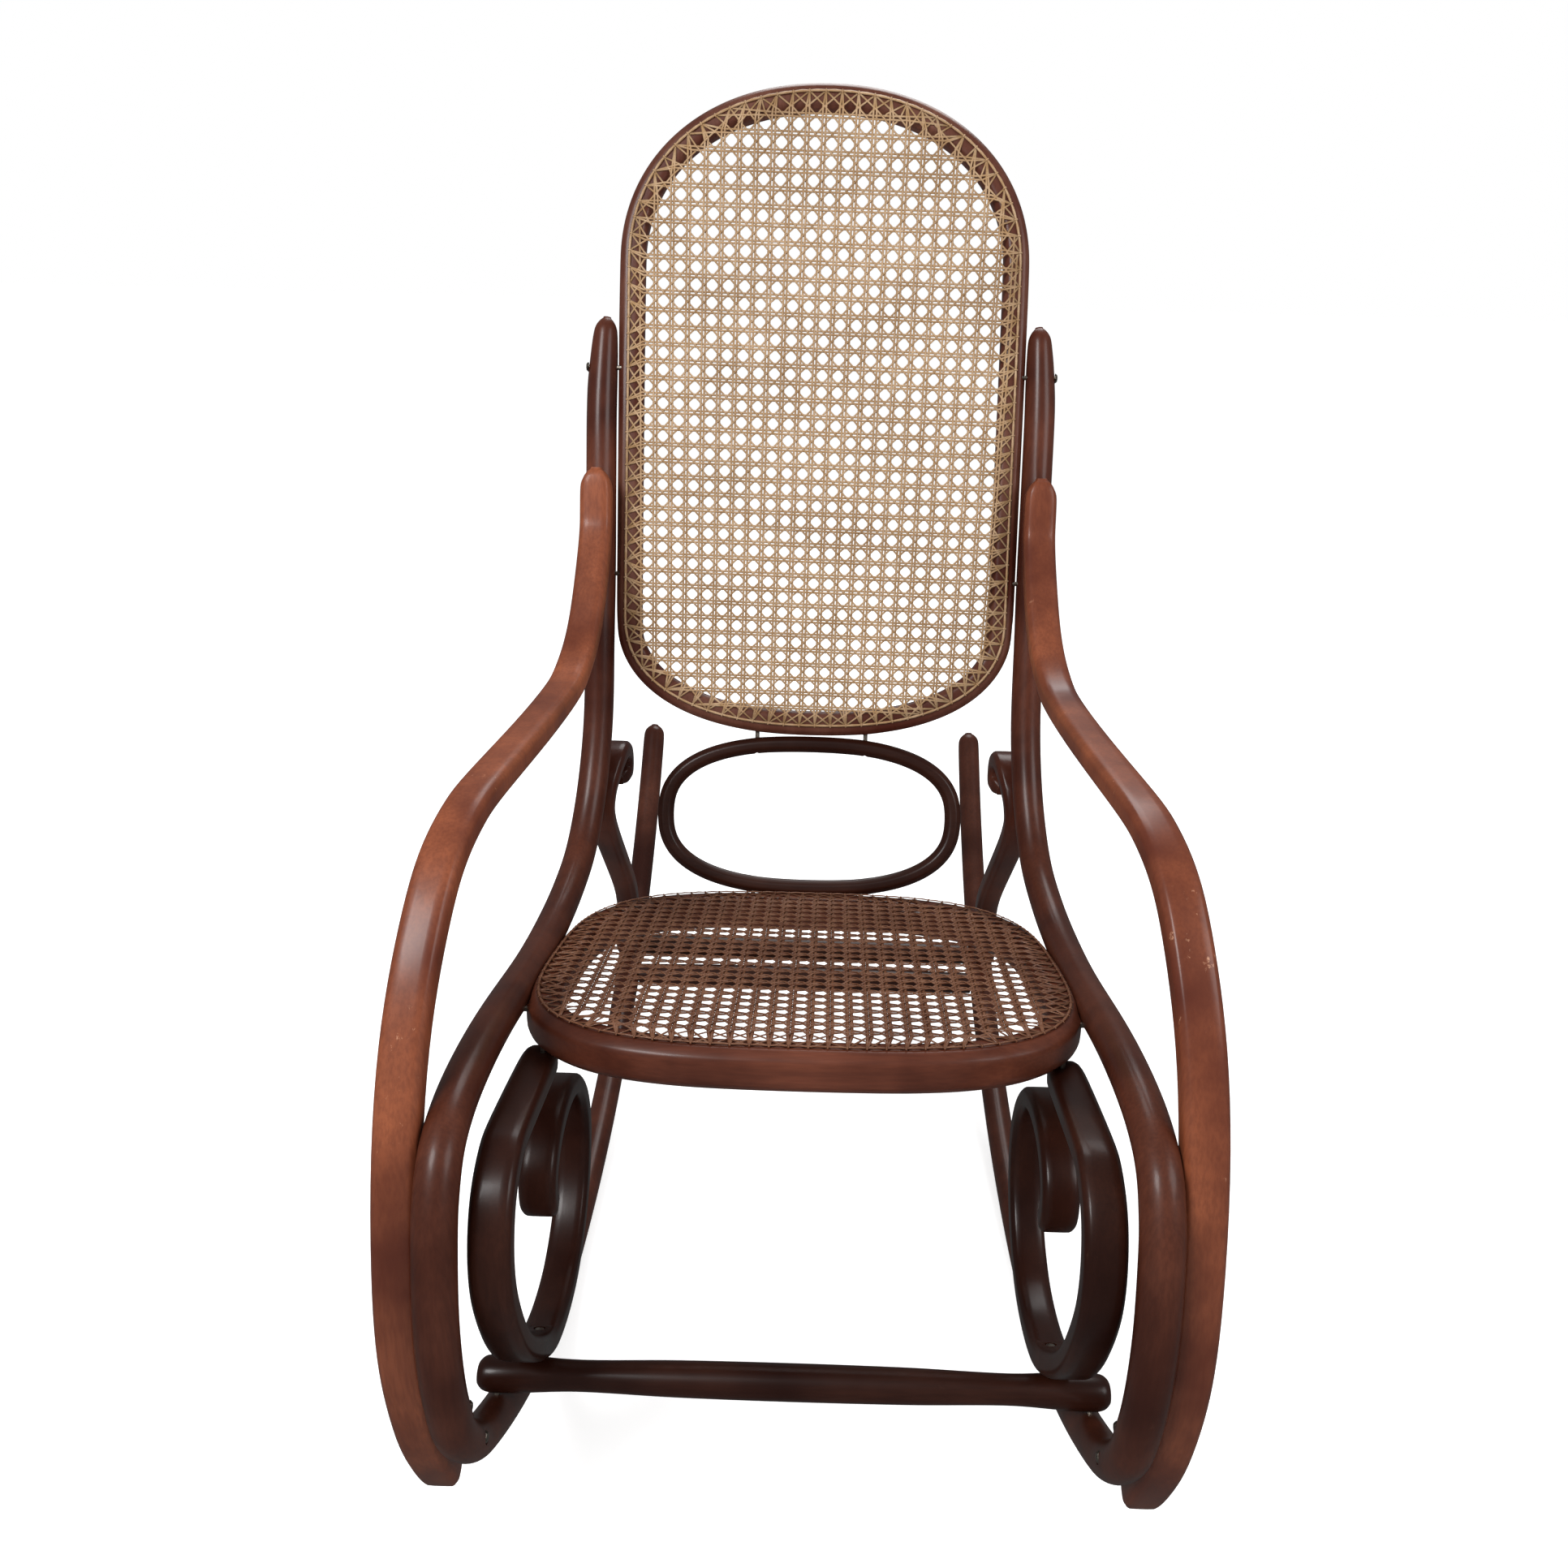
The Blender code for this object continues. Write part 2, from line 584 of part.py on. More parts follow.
def stretcher_centre():
    """Centre of the front stretcher, which lies on the two rods where they run down to the floor."""
    path = side_path()
    low = min((p for p in path if p.z < 0.25), key=lambda p: abs(p.y - STRETCHER_Y))
    i = path.index(low)
    along = (path[i + 1] - path[i - 1]).normalized()
    up = Vector((0.0, -along.z, along.y)).normalized()
    return Vector((0.0, low.y, low.z)) + up * (ROD_RADIUS + STRETCHER_RADIUS + REST_GAP), up


def build_rails():
    """Front stretcher lying on the rods, and two rails tenoned between the tails of the runners."""
    half = side_x() + ROD_RADIUS
    profile = [(0.0, STRETCHER_RADIUS), (0.06, 0.98 * STRETCHER_RADIUS)]
    for x in (0.10, 0.13, 0.155, 0.18):
        swell = 0.5 + 0.5 * math.cos(math.pi * (x - 0.06) / 0.12)
        profile.append((x, STRETCHER_NECK + (STRETCHER_RADIUS - STRETCHER_NECK) * swell))
    profile += [(half - 0.034, STRETCHER_RADIUS), (half - 0.008, STRETCHER_RADIUS)]
    profile += [(half - 0.003, 0.86 * STRETCHER_RADIUS), (half, 0.6 * STRETCHER_RADIUS)]
    turned("front_stretcher", profile, stretcher_centre()[0], WOOD)
    for label, y in zip(("lower", "upper"), REAR_RAIL_YS):
        place = runner_at(y)[0]
        half = place.x - ROD_RADIUS - GAP
        profile = [(0.0, REAR_RAIL_RADIUS), (0.10, REAR_RAIL_RADIUS), (0.17, 0.9 * REAR_RAIL_RADIUS)]
        profile += [(half, 0.85 * REAR_RAIL_RADIUS)]
        turned("rear_rail_" + label, profile, Vector((0.0, place.y, place.z)), WOOD)


def screw(name, seat_point, into, depth, targets):
    """Screw with its domed head let in at seat_point, driven along `into`, and its hole in each target."""
    into = into.normalized()
    mesh = bpy.data.meshes.new(name)
    low = GAP - SCREW_SINK
    head = low + SCREW_HEAD_HEIGHT
    profile = [(0.0, head), (0.7 * SCREW_HEAD, head - 0.25 * SCREW_HEAD_HEIGHT), (SCREW_HEAD, low),
               (SCREW_SHANK, low), (SCREW_SHANK, -depth), (0.0, -depth)]
    mesh.from_pydata([(x, 0.0, z) for x, z in profile], [(i, i + 1) for i in range(5)], [])
    obj = bpy.data.objects.new(name, mesh)
    bpy.data.collections[PARTS].objects.link(obj)
    spin(obj, 8)
    obj.matrix_world = upright_on(seat_point, into)
    paint(obj, STEEL, roughness=0.35, metallic=1.0)
    for target in targets:
        holes.setdefault(target, []).append((seat_point, into, depth))


def upright_on(point, into):
    """Placement whose Z axis looks back out of the surface that `into` goes into."""
    return Matrix.Translation(point) @ (-into).to_track_quat("Z", "Y").to_matrix().to_4x4()


def bore(point, into, depth):
    """Shape of one stepped hole: room for the head, then for the shank."""
    bm = bmesh.new()
    wide = SCREW_HEAD + HOLE_CLEARANCE
    narrow = SCREW_SHANK + HOLE_CLEARANCE
    end = -depth - HOLE_CLEARANCE
    profile = [(0.0, BORE_RISE), (wide, BORE_RISE), (wide, -SCREW_SINK), (narrow, -SCREW_SINK),
               (narrow, end), (0.0, end)]
    verts = [bm.verts.new((x, 0.0, z)) for x, z in profile]
    edges = [bm.edges.new(pair) for pair in zip(verts, verts[1:])]
    bmesh.ops.spin(bm, geom=verts + edges, cent=(0.0, 0.0, 0.0), axis=(0.0, 0.0, 1.0),
                   angle=2 * math.pi, steps=8)
    bmesh.ops.remove_doubles(bm, verts=bm.verts, dist=0.00001)
    bmesh.ops.transform(bm, matrix=upright_on(point, into), verts=bm.verts)
    bmesh.ops.recalc_face_normals(bm, faces=bm.faces)
    return bm


def drill():
    """Cut every screw's hole: one cutter object and one Boolean for each drilled piece."""
    for target, cuts in holes.items():
        whole = bmesh.new()
        for cut in cuts:
            one = bore(*cut)
            mesh = bpy.data.meshes.new("bore")
            one.to_mesh(mesh)
            one.free()
            whole.from_mesh(mesh)
        subtract(target, add_mesh(target + "_bores", whole, CUTTERS))


def build_screws():
    """Every screw, named for the joint that it holds."""
    path = side_path()
    for label, side in (("left", -1), ("right", 1)):
        out = X_AXIS * side
        rod_name = "side_rod_" + label
        for k, height in enumerate((0.30, 0.50)):
            place = BACK_ORIGIN + BACK_UP * height - BACK_FRONT * 0.2 * BACK_RIM_DEPTH
            screw(f"back_screw_{label}_{k + 1}", place + out * (upright_x() + 0.97 * ROD_RADIUS), -out,
                  2 * ROD_RADIUS + 0.008, (rod_name, "back_frame"))
        for k, v in enumerate((-0.10, 0.03)):
            place = SEAT_ORIGIN + SEAT_REAR * v - SEAT_UP * 0.009
            inside = seat_half_width(v) - SEAT_RIM_WIDTH
            screw(f"seat_screw_{label}_{k + 1}", place + out * inside, out, side_x() + 0.004 - inside,
                  ("seat_frame", rod_name))
        place = upright_point(ARM_TOP - 0.024) + out * upright_x()
        screw("arm_top_screw_" + label, place - BACK_FRONT * 0.97 * ROD_RADIUS, BACK_FRONT,
              2 * ROD_RADIUS + 0.011, (rod_name, "arm_" + label))
        for k, (y, z) in enumerate(ARM_SCREWS):
            spot = nearest(path, y, z)
            off_centre = abs(y - spot.y)
            reach = 0.97 * math.sqrt(ROD_RADIUS**2 - off_centre**2)
            place = Vector((side * (side_x() - reach), y, z))
            screw(f"arm_screw_{label}_{k + 1}", place, out, ROD_RADIUS + reach + 0.011,
                  (rod_name, "arm_" + label))
        scroll_screws(label, side)
        brace_screws(label, side)
        centre, up = stretcher_centre()
        place = centre - up * (STRETCHER_RADIUS + GAP + 1.97 * ROD_RADIUS) + out * side_x()
        screw("stretcher_screw_" + label, place, up, 2 * ROD_RADIUS + 0.016, (rod_name, "front_stretcher"))
        for rail, y in zip(("lower", "upper"), REAR_RAIL_YS):
            spot = runner_at(y)[0]
            place = Vector((side * (spot.x + 0.97 * ROD_RADIUS), spot.y, spot.z))
            screw(f"{rail}_rail_screw_{label}", place, -out, 2 * ROD_RADIUS + 0.014,
                  (rod_name, "rear_rail_" + rail))


def scroll_screws(label, side):
    """One screw up into the seat's rim and one down into the front stretcher."""
    name = "seat_scroll_" + label
    x = side * (side_x() - ROD_RADIUS - GAP - SCROLL_HALF_WIDTH)
    inner = x - side * 0.25 * SCROLL_HALF_WIDTH
    drop = SEAT_RIM_HEIGHT + GAP + 2 * SCROLL_HALF_THICKNESS
    place = SEAT_ORIGIN + SEAT_REAR * -0.125 - SEAT_UP * drop + X_AXIS * inner
    screw(f"scroll_screw_{label}_1", place, SEAT_UP, 2 * SCROLL_HALF_THICKNESS + 0.018, (name, "seat_frame"))
    centre = stretcher_centre()[0]
    path = scroll_path()
    spot = min(path, key=lambda p: (p.y - centre.y) ** 2 + (p.z - centre.z) ** 2)
    down = Vector((0.0, centre.y - spot.y, centre.z - spot.z)).normalized()
    place = Vector((x, spot.y, spot.z)) - down * SCROLL_HALF_THICKNESS
    screw(f"scroll_screw_{label}_2", place, down, 2 * SCROLL_HALF_THICKNESS + 0.014,
          (name, "front_stretcher"))


def brace_screws(label, side):
    """One screw from behind into the upright and one up through the runner into the foot."""
    name = "rear_brace_" + label
    rod_name = "side_rod_" + label
    path = mirrored(side_path(), side)
    brace = mirrored(brace_path(), side)
    spot, near = min(((p, q) for p in brace for q in path if p.z > 0.38),
                     key=lambda pair: (pair[0] - pair[1]).length)
    into = Vector((0.0, near.y - spot.y, near.z - spot.z)).normalized()
    screw(f"brace_screw_{label}_1", spot - into * BRACE_HALF_THICKNESS, into,
          2 * BRACE_HALF_THICKNESS + ROD_RADIUS, (name, rod_name))
    foot, up = runner_at(BRACE_FOOT_Y)
    foot.x *= side
    screw(f"brace_screw_{label}_2", foot - up * 0.97 * ROD_RADIUS, up, 2 * ROD_RADIUS + 0.022,
          (rod_name, name))


def ring_screws(low, high):
    """Two screws from the ring up into the back hoop and two into the rear of the seat's rim."""
    for label, side in (("left", -1), ("right", 1)):
        place = high + X_AXIS * side * 0.055 - BACK_UP * 0.97 * RING_ROD_RADIUS
        screw("ring_top_screw_" + label, place, BACK_UP, 2 * RING_ROD_RADIUS + 0.011,
              ("lumbar_ring", "back_frame"))
        out = (SEAT_REAR + SEAT_UP).normalized()
        place = low + X_AXIS * side * 0.055 + out * 0.97 * RING_ROD_RADIUS
        screw("ring_bottom_screw_" + label, place, -out, 2 * RING_ROD_RADIUS + 0.012,
              ("lumbar_ring", "seat_frame"))


def add_root():
    """Parent everything to one empty, tip it to its rest angle and stand it on the floor."""
    root = bpy.data.objects.new("chair_root", None)
    bpy.context.scene.collection.objects.link(root)
    root.rotation_euler = (REST_TILT, 0.0, 0.0)
    parts = list(bpy.data.collections[PARTS].objects) + list(bpy.data.collections[CUTTERS].objects)
    for obj in parts:
        obj.parent = root
    bpy.context.view_layer.update()
    low, high = box_of(bpy.data.collections[PARTS].objects)
    root.location = (0.0, -(low.y + high.y) / 2, -low.z)
    bpy.context.view_layer.update()


def box_of(objects):
    """World box of the evaluated objects."""
    graph = bpy.context.evaluated_depsgraph_get()
    low = Vector((1e9, 1e9, 1e9))
    high = -low
    for obj in objects:
        shown = obj.evaluated_get(graph)
        for vert in shown.to_mesh().vertices:
            place = shown.matrix_world @ vert.co
            low = Vector(map(min, low, place))
            high = Vector(map(max, high, place))
        shown.to_mesh_clear()
    return low, high


def main():
    clear_scene()
    build_sides()
    build_seat()
    notch_seat()
    low, high = build_back()
    build_rails()
    build_screws()
    ring_screws(low, high)
    drill()
    add_root()


main()
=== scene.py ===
"""Bentwood rocking chair: woven cane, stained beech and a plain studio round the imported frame."""

import json
import math
import random

import bmesh
import bpy
from mathutils import Matrix, Vector

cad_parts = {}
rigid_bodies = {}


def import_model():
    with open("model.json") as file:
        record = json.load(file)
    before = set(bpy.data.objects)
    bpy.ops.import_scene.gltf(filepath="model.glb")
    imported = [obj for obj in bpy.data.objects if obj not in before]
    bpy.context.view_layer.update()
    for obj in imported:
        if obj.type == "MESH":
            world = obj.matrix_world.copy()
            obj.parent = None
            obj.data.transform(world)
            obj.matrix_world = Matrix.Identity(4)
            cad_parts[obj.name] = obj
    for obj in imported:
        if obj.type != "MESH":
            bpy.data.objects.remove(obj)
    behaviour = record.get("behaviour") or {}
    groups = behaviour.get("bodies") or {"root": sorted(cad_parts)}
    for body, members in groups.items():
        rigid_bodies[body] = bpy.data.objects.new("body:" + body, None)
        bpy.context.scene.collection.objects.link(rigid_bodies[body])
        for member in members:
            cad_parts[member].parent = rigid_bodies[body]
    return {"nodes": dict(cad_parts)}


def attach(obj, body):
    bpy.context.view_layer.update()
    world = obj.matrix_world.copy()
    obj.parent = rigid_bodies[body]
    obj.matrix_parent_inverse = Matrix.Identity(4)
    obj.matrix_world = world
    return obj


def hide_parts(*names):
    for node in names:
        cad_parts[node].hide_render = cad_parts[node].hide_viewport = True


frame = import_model()

bl_info = {
    "name": "Bentwood Rocking Chair",
    "version": (1, 0, 0),
    "blender": (4, 5, 0),
    "location": "View3D > Sidebar > Rocker",
    "description": "Weaves the cane, finishes the wood and sets the studio for a bentwood rocking chair",
    "category": "Object",
}

# Planes and outlines of the seat and the back in the chair's own frame, which lies FRAME_SHIFT along Y
FRAME_SHIFT = -0.2188
SEAT_SLOPE = math.radians(9.6)
SEAT_TOP = 0.394
SEAT_MIDDLE = 0.005
SEAT_HALF = (0.2250, 0.1925)
SEAT_CORNER = 3.2
SEAT_TAPER = 0.035
BACK_RECLINE = math.radians(16.0)
BACK_FOOT = (0.2045, 0.3748)
BACK_HALF_WIDTH = 0.200
BACK_LEVELS = (0.1425, 0.262, 0.600, 0.771)
BACK_ARCH = 2.15
BACK_CHIN = 2.35
HOLE_LINE = 0.01025
RIM_WIDTH = {"seat": 0.029, "back": 0.0245}

# How much a panel's grid widens, across and along, for each metre up from its middle
SEAT_WIDENING = (0.06, 0.0)
BACK_WIDENING = (0.152, 0.1765)
GRID_TURN = math.radians(-0.8)

# Strands: half the distance of a pair, how far they rise and fall, and how low they lie in their holes
PAIR_OFFSET = 0.0015
PAIR_RISE = 0.00042
DIAGONAL_RISE = 0.00098
STRAND_DRIFT = 0.00012
END_LEVEL = -0.0003
RIM_LEVEL = 0.0002

# Binder and the loops that tie it down at every hole
BINDER_LEVEL = 0.0007
BINDER_DIP = 0.0004
BINDER_PINCH = 0.24
LOOP_SIZE = (0.0017, 0.0007)
LOOP_RISE = 0.0013
LOOP_SHARES = (-1.0, -0.8, -0.35, 0.0, 0.35, 0.8, 1.0)

# Lamps as name, place, size and power, all aimed at LAMP_AIM
LAMPS = (
    ("key", (-1.3, -1.9, 2.4), 0.9, 42.0),
    ("fill", (2.0, -1.3, 1.9), 1.2, 18.0),
    ("window", (0.3, 1.8, 2.8), 1.6, 36.0),
)
LAMP_AIM = (0.0, -0.1, 0.5)
FLOOR_SIZE = 240.0

# Camera: lens, sideways shift, place in the chair's own frame, and its pitch, roll and yaw
CAMERA_LENS = 27.95
CAMERA_SHIFT = -0.0098
CAMERA_PLACE = (0.0, -0.915, 0.927)
CAMERA_TURN = (math.radians(22.0), math.radians(1.6), math.radians(-0.5))



def seat_frame_axes():
    """Origin, across, up the panel and face normal of the seat."""
    slope = SEAT_SLOPE
    rear = Vector((0.0, math.cos(slope), -math.sin(slope)))
    up = Vector((0.0, math.sin(slope), math.cos(slope)))
    return Vector((0.0, FRAME_SHIFT, SEAT_TOP)), Vector((1.0, 0.0, 0.0)), rear, up


def back_frame_axes():
    """Origin, across, up the panel and face normal of the back."""
    lean = BACK_RECLINE
    up = Vector((0.0, math.sin(lean), math.cos(lean)))
    front = Vector((0.0, -math.cos(lean), math.sin(lean)))
    origin = Vector((0.0, BACK_FOOT[0] + FRAME_SHIFT, BACK_FOOT[1]))
    return origin, Vector((1.0, 0.0, 0.0)), up, front


def power(value, exponent):
    return math.copysign(abs(value) ** exponent, value)


def seat_edge(inset, count=360):
    """Outline of the seat, moved in by the inset."""
    half_w, half_d = SEAT_HALF[0] - inset, SEAT_HALF[1] - inset
    points = []
    for i in range(count):
        angle = 2 * math.pi * i / count
        v = half_d * power(math.sin(angle), 2 / SEAT_CORNER)
        u = half_w * power(math.cos(angle), 2 / SEAT_CORNER)
        points.append(Vector((u * (1.0 - SEAT_TAPER * v / half_d), v + SEAT_MIDDLE)))
    return points


def back_edge(inset, count=360):
    """Outline of the back hoop, moved in by the inset."""
    low, shoulder_low, shoulder_high, high = BACK_LEVELS
    half_w = BACK_HALF_WIDTH - inset
    points = []
    for i in range(count):
        angle = 2 * math.pi * i / count
        rise, shape, base = high - shoulder_high - inset, BACK_ARCH, shoulder_high
        if math.sin(angle) < 0.0:
            rise, shape, base = shoulder_low - low - inset, BACK_CHIN, shoulder_low
        u = half_w * power(math.cos(angle), 2 / shape)
        points.append(Vector((u, base + rise * power(math.sin(angle), 2 / shape))))
    return points


def evenly(outline, spacing, count=0):
    """Points at even spacing round a closed outline, as near the given spacing as it allows, or a count."""
    loop = [*outline, outline[0]]
    run = [0.0]
    for a, b in zip(loop, loop[1:]):
        run.append(run[-1] + (b - a).length)
    count = count or round(run[-1] / spacing)
    found = []
    k = 0
    for i in range(count):
        mark = run[-1] * i / count
        while run[k + 1] < mark:
            k += 1
        found.append(loop[k].lerp(loop[k + 1], (mark - run[k]) / (run[k + 1] - run[k])))
    return found


def crossings(outline, origin, direction):
    """Where a line enters and leaves a convex outline, as distances along it, or None."""
    normal = Vector((-direction.y, direction.x))
    hits = []
    for a, b in zip(outline, outline[1:] + outline[:1]):
        da, db = (a - origin).dot(normal), (b - origin).dot(normal)
        if (da < 0.0) != (db < 0.0):
            hits.append((a.lerp(b, da / (da - db)) - origin).dot(direction))
    return (min(hits), max(hits)) if len(hits) > 1 else None


class Weave:
    """A seven-step cane panel laid out on a near-square grid inside an outline."""

    def __init__(self, edge, pitch, turn, rim, widening, seed):
        self.widening = widening
        outline = edge(rim)
        self.middle = sum(outline, Vector((0.0, 0.0))) / len(outline)
        self.hole_line = [self.even(point) for point in edge(HOLE_LINE)]
        self.open_edge = [self.even(point) for point in outline]
        self.rim_line = edge(HOLE_LINE)
        self.rim_holes = evenly(self.rim_line, 0.5 * sum(pitch))
        self.holes = [self.even(point) for point in self.rim_holes]
        self.pitch = pitch
        self.turn = Matrix.Rotation(turn, 2)
        self.random = random.Random(seed)
        self.paths = {"straight": [], "diagonal": []}

    def even(self, point):
        """Where a point of the panel lies on the grid before the grid widens upwards, from the middle."""
        wide, tall = self.widening
        offset = point - self.middle
        v = offset.y
        if tall:
            v = (math.sqrt(1.0 + 4.0 * tall * offset.y) - 1.0) / (2.0 * tall)
        return Vector((offset.x / (1.0 + wide * v), v))

    def widened(self, x, y, z):
        """The opposite of even, with a height."""
        wide, tall = self.widening
        return (self.middle.x + x * (1.0 + wide * y), self.middle.y + y * (1.0 + tall * y), z)

    def at(self, i, j):
        """Place of grid point (i, j), which may be fractional."""
        return self.turn @ Vector((i * self.pitch[0], j * self.pitch[1]))

    def nearest_hole(self, point):
        return min(self.holes, key=lambda hole: (hole - point).length_squared)

    def strand(self, kind, start, step, height, side=0.0):
        """One strand from grid point `start` on by `step`, its height a function of the step's number."""
        first = self.at(*start)
        direction = self.at(start[0] + step[0], start[1] + step[1]) - first
        stride = direction.length
        direction.normalize()
        across = Vector((-direction.y, direction.x)) * side
        span = crossings(self.open_edge, first + across, direction)
        outer = crossings(self.hole_line, first + across, direction)
        if span is None or span[1] - span[0] < 2.4 * stride:
            return
        drift = self.random.uniform(-STRAND_DRIFT, STRAND_DRIFT)
        low, high = math.ceil(span[0] / stride), math.floor(span[1] / stride)
        inner = []
        for n in range(low, high + 1):
            place = first + across * (1.0 + drift / max(abs(side), 0.001)) + direction * (n * stride)
            inner.append((place.x, place.y, height(n)))
        ends = []
        for mark, reach in zip(span, outer):
            rim = first + across + direction * mark
            hole = self.nearest_hole(first + direction * reach)
            hole = hole + (rim - hole) * 0.06
            ends.append(((hole.x, hole.y, END_LEVEL), (rim.x, rim.y, RIM_LEVEL)))
        path = [ends[0][0], ends[0][1], *inner, ends[1][1], ends[1][0]]
        self.paths[kind].append([self.widened(*point) for point in path])

    def fill(self):
        """All seven steps: two verticals and two horizontals a hole, and one diagonal each way."""
        reach = 60
        for i in range(-reach, reach):
            for side in (-1, 1):
                self.strand("straight", (i + 0.5, 0.0), (0.0, 0.25),
                            lambda n, s=side: self.over(n, s), side * PAIR_OFFSET)
                self.strand("straight", (0.0, i + 0.5), (0.25, 0.0),
                            lambda n, s=side: self.over(n, -s), side * PAIR_OFFSET)
        for i in range(-2 * reach, 2 * reach):
            for slant in (1, -1):
                self.strand("diagonal", (i + 0.5, 0.0), (0.25, 0.25 * slant),
                            lambda n, s=slant: self.cross(n, s))

    def over(self, n, side):
        """Height of a straight strand: level between crossings, over or under where the pairs meet."""
        return side * PAIR_RISE if n % 4 == 2 else 0.0

    def cross(self, n, slant):
        """Height of a diagonal: over the verticals and under the horizontals, or the other way."""
        if n % 2:
            return 0.0
        meets_vertical = n % 4 == 0
        return DIAGONAL_RISE if meets_vertical == (slant > 0) else -DIAGONAL_RISE


def strand_curve(name, width, thickness):
    """Curve object whose profile is a flattened oval, turned so that the strands lie face up."""
    shape = bpy.data.curves.new(name + "_profile", "CURVE")
    shape.dimensions = "2D"
    ring = shape.splines.new("POLY")
    ring.points.add(3)
    ring.use_cyclic_u = True
    corners = ((width, 0.0), (0.0, thickness), (-width, 0.0), (0.0, -thickness))
    for item, (x, y) in zip(ring.points, corners):
        item.co = (x / 2, y / 2, 0.0, 1.0)
    profile = bpy.data.objects.new(name + "_profile", shape)
    bpy.context.scene.collection.objects.link(profile)
    curve = bpy.data.curves.new(name, "CURVE")
    curve.dimensions = "3D"
    curve.twist_mode = "Z_UP"
    curve.bevel_mode = "OBJECT"
    curve.bevel_object = profile
    curve.use_fill_caps = True
    obj = bpy.data.objects.new(name, curve)
    bpy.context.scene.collection.objects.link(obj)
    return obj, profile


def add_spline(obj, points, radii=None, cyclic=False):
    spline = obj.data.splines.new("POLY")
    spline.points.add(len(points) - 1)
    spline.use_cyclic_u = cyclic
    spline.use_smooth = True
    for k, (item, point) in enumerate(zip(spline.points, points)):
        item.co = (*point, 1.0)
        item.radius = radii[k] if radii else 1.0


def finish_curve(obj, profile, axes, lift):
    """Make the strands a mesh and lay them in their panel's plane."""
    select_only(obj)
    bpy.ops.object.convert(target="MESH")
    bpy.data.objects.remove(profile, do_unlink=True)
    bpy.ops.object.mode_set(mode="EDIT")
    bpy.ops.mesh.select_all(action="SELECT")
    bpy.ops.mesh.remove_doubles(threshold=0.000002)
    bpy.ops.mesh.normals_make_consistent(inside=False)
    bpy.ops.object.mode_set(mode="OBJECT")
    origin, across, up, normal = axes
    place = Matrix((across, up, normal)).transposed().to_4x4()
    place.translation = origin + normal * lift
    obj.data.transform(place)
    obj.data.update()


def select_none():
    for other in bpy.context.view_layer.objects:
        other.select_set(False)


def select_only(obj):
    select_none()
    bpy.context.view_layer.objects.active = obj
    obj.select_set(True)


def weave_panel(name, weave, settings, axes, material, fullness=1.0):
    """Woven strands, binder and couching loops of one panel. Returns the objects."""
    weave.fill()
    made = []
    for kind, width in (("straight", settings.strand_width), ("diagonal", settings.diagonal_width)):
        width *= fullness
        obj, profile = strand_curve(f"{name}_{kind}_strands", width, settings.strand_thickness)
        for path in weave.paths[kind]:
            add_spline(obj, path)
        finish_curve(obj, profile, axes, settings.lift)
        made.append(obj)
    obj, profile = strand_curve(name + "_binder", settings.binder_width, settings.binder_thickness)
    holes = weave.rim_holes
    count = len(holes)
    ring, radii = [], []
    for k, point in enumerate(evenly(weave.rim_line, 0.0, 4 * count)):
        pinch = 0.5 + 0.5 * math.cos(2 * math.pi * k / 4)
        ring.append((point.x, point.y, BINDER_LEVEL - BINDER_DIP * pinch))
        radii.append(1.0 - BINDER_PINCH * pinch)
    add_spline(obj, ring, radii, cyclic=True)
    finish_curve(obj, profile, axes, settings.lift)
    made.append(obj)
    obj, profile = strand_curve(name + "_couching", *LOOP_SIZE)
    for k, hole in enumerate(holes):
        along = (holes[(k + 1) % count] - holes[k - 1]).normalized()
        out = Vector((along.y, -along.x))
        wide = 0.5 * settings.binder_width + 0.0004
        arc = []
        for share in LOOP_SHARES:
            place = hole + out * wide * share
            rise = LOOP_RISE * math.sqrt(max(0.0, 1.0 - share * share))
            arc.append((place.x, place.y, rise + END_LEVEL))
        add_spline(obj, arc)
    finish_curve(obj, profile, axes, settings.lift)
    made.append(obj)
    for obj in made:
        obj.data.materials.clear()
        obj.data.materials.append(material)
        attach(obj, "root")
    return made


def new_group(name, inputs, outputs):
    """Empty shader node group with named sockets."""
    group = bpy.data.node_groups.new(name, "ShaderNodeTree")
    for label, kind, value in inputs:
        item = group.interface.new_socket(label, in_out="INPUT", socket_type="NodeSocket" + kind)
        item.default_value = value
    for label, kind in outputs:
        group.interface.new_socket(label, in_out="OUTPUT", socket_type="NodeSocket" + kind)
    return group, group.nodes.new("NodeGroupInput"), group.nodes.new("NodeGroupOutput")


def noise(group, vector, scale, detail=3.0, rough=0.55, stretch=(1.0, 1.0, 1.0)):
    """Noise texture read through a Mapping node that stretches it."""
    mapping = group.nodes.new("ShaderNodeMapping")
    mapping.inputs["Scale"].default_value = stretch
    group.links.new(vector, mapping.inputs["Vector"])
    tex = group.nodes.new("ShaderNodeTexNoise")
    tex.inputs["Scale"].default_value = scale
    tex.inputs["Detail"].default_value = detail
    tex.inputs["Roughness"].default_value = rough
    group.links.new(mapping.outputs["Vector"], tex.inputs["Vector"])
    return tex.outputs["Fac"]


def ramp(group, value, low, high, to_low=0.0, to_high=1.0):
    node = group.nodes.new("ShaderNodeMapRange")
    for label, number in (("From Min", low), ("From Max", high), ("To Min", to_low), ("To Max", to_high)):
        node.inputs[label].default_value = number
    group.links.new(value, node.inputs["Value"])
    return node.outputs["Result"]


